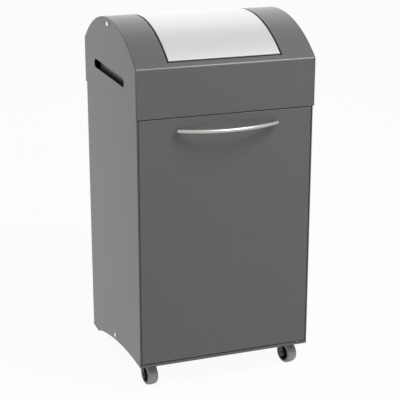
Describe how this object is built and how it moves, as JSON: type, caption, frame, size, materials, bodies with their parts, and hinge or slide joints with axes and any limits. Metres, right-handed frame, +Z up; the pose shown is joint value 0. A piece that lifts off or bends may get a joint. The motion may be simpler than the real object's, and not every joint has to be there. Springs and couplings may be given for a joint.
{
  "type": "recycling bin",
  "caption": "Upright sheet-steel recycling bin with a domed hood and swing flap, a hinged front door with a bow handle, an inner bin with a bail, back feet and front swivel casters.",
  "frame": {"origin": "on the floor under the middle of the whole bin's box, handle included", "axes": "+X to the bin's right as seen from the front, +Y from the door to the back, +Z up"},
  "size_m": [0.407, 0.4487, 0.8],
  "materials": {
    "paint": "satin, dark grey powder coat",
    "satin_steel": "satin",
    "bright_steel": "bright",
    "zinc_steel": "zinc plated or galvanised",
    "black_plastic": "matt",
    "black_steel": "black",
    "nylon": "natural",
    "tread": "grey, matt"
  },
  "bodies": {
    "cabinet": {"side_panel_left": "paint", "side_panel_right": "paint", "back_panel": "paint", "floor_pan": "paint", "front_rail": "paint", "floor_screws": "bright_steel", "foot_pad_left": "black_plastic", "foot_pad_right": "black_plastic", "hood_shell": "paint", "hood_cheek_left": "paint", "hood_cheek_right": "paint", "hood_nuts": "zinc_steel", "flap_axle": "zinc_steel", "axle_cap_left": "bright_steel", "axle_cap_right": "bright_steel", "axle_collars": "zinc_steel", "hinge_pin_top": "zinc_steel", "hinge_pin_bottom": "zinc_steel", "catch_housing": "black_plastic", "catch_magnet": "zinc_steel", "liner_bin": "zinc_steel", "liner_runner_left": "zinc_steel", "liner_runner_right": "zinc_steel", "liner_ears": "zinc_steel", "caster_plate_left": "zinc_steel", "caster_plate_right": "zinc_steel", "caster_kingpin_left": "zinc_steel", "caster_kingpin_right": "zinc_steel", "caster_bolts": "zinc_steel", "caster_nuts": "zinc_steel"},
    "flap": {"flap_panel": "satin_steel", "flap_bush_left": "nylon", "flap_bush_right": "nylon"},
    "door": {"door_panel": "paint", "door_stiffener": "paint", "door_bush_top": "nylon", "door_bush_bottom": "nylon", "strike_plate": "zinc_steel", "handle_bow": "satin_steel", "handle_screws": "zinc_steel"},
    "bail": {"bail_wire": "zinc_steel", "bail_grip": "black_plastic"},
    "swivel_left": {"caster_fork_left": "black_steel", "caster_axle_left": "black_steel"},
    "wheel_left": {"caster_wheel_left": "black_plastic", "caster_tyre_left": "tread"},
    "swivel_right": {"caster_fork_right": "black_steel", "caster_axle_right": "black_steel"},
    "wheel_right": {"caster_wheel_right": "black_plastic", "caster_tyre_right": "tread"}
  },
  "joints": [
    {"name": "door_swing", "type": "hinge", "parent": "cabinet", "child": "door", "pos_m": [0.1752, -0.17685, 0.34], "axis": [0, 0, 1], "range_deg": [0, 110]},
    {"name": "flap_swing", "type": "hinge", "parent": "cabinet", "child": "flap", "pos_m": [0, 0.02035, 0.787], "axis": [1, 0, 0], "range_deg": [-55, 55]},
    {"name": "bail_swing", "type": "hinge", "parent": "cabinet", "child": "bail", "pos_m": [0, 0.02635, 0.562], "axis": [1, 0, 0], "range_deg": [0, 180]},
    {"name": "caster_swivel_left", "type": "hinge", "parent": "cabinet", "child": "swivel_left", "pos_m": [-0.166, -0.12165, 0.06], "axis": [0, 0, 1], "continuous": true},
    {"name": "wheel_spin_left", "type": "hinge", "parent": "swivel_left", "child": "wheel_left", "pos_m": [-0.16405, -0.13753, 0.025], "axis": [0.9925, 0.1219, 0], "continuous": true},
    {"name": "caster_swivel_right", "type": "hinge", "parent": "cabinet", "child": "swivel_right", "pos_m": [0.166, -0.12165, 0.06], "axis": [0, 0, 1], "continuous": true},
    {"name": "wheel_spin_right", "type": "hinge", "parent": "swivel_right", "child": "wheel_right", "pos_m": [0.16987, -0.13717, 0.025], "axis": [0.9703, 0.2419, 0], "continuous": true}
  ]
}
